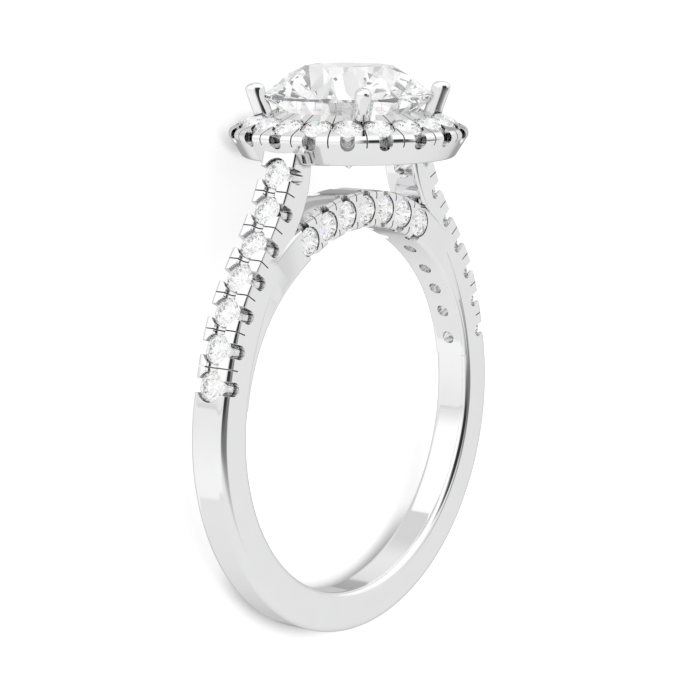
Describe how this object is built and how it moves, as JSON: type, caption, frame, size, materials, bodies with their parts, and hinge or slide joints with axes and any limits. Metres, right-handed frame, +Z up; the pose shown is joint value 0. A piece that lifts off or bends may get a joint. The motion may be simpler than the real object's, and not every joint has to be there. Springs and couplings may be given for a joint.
{
  "type": "halo ring",
  "caption": "Finger ring lying on its side: a cathedral band with pave shoulders and arch carries a round pave halo and one round brilliant in claws.",
  "frame": {"origin": "centre of the bounding box, on the floor that the ring lies on", "axes": "+Z up from the floor, +Y from the bottom of the band towards the head, +X across the finger hole"},
  "size_m": [0.0202, 0.0254, 0.0104],
  "materials": {
    "white_gold": "polished white gold",
    "gem": "faceted, clear and colourless"
  },
  "bodies": {
    "root": {"ring_setting": "white_gold", "centre_stone": "gem"}
  },
  "joints": []
}
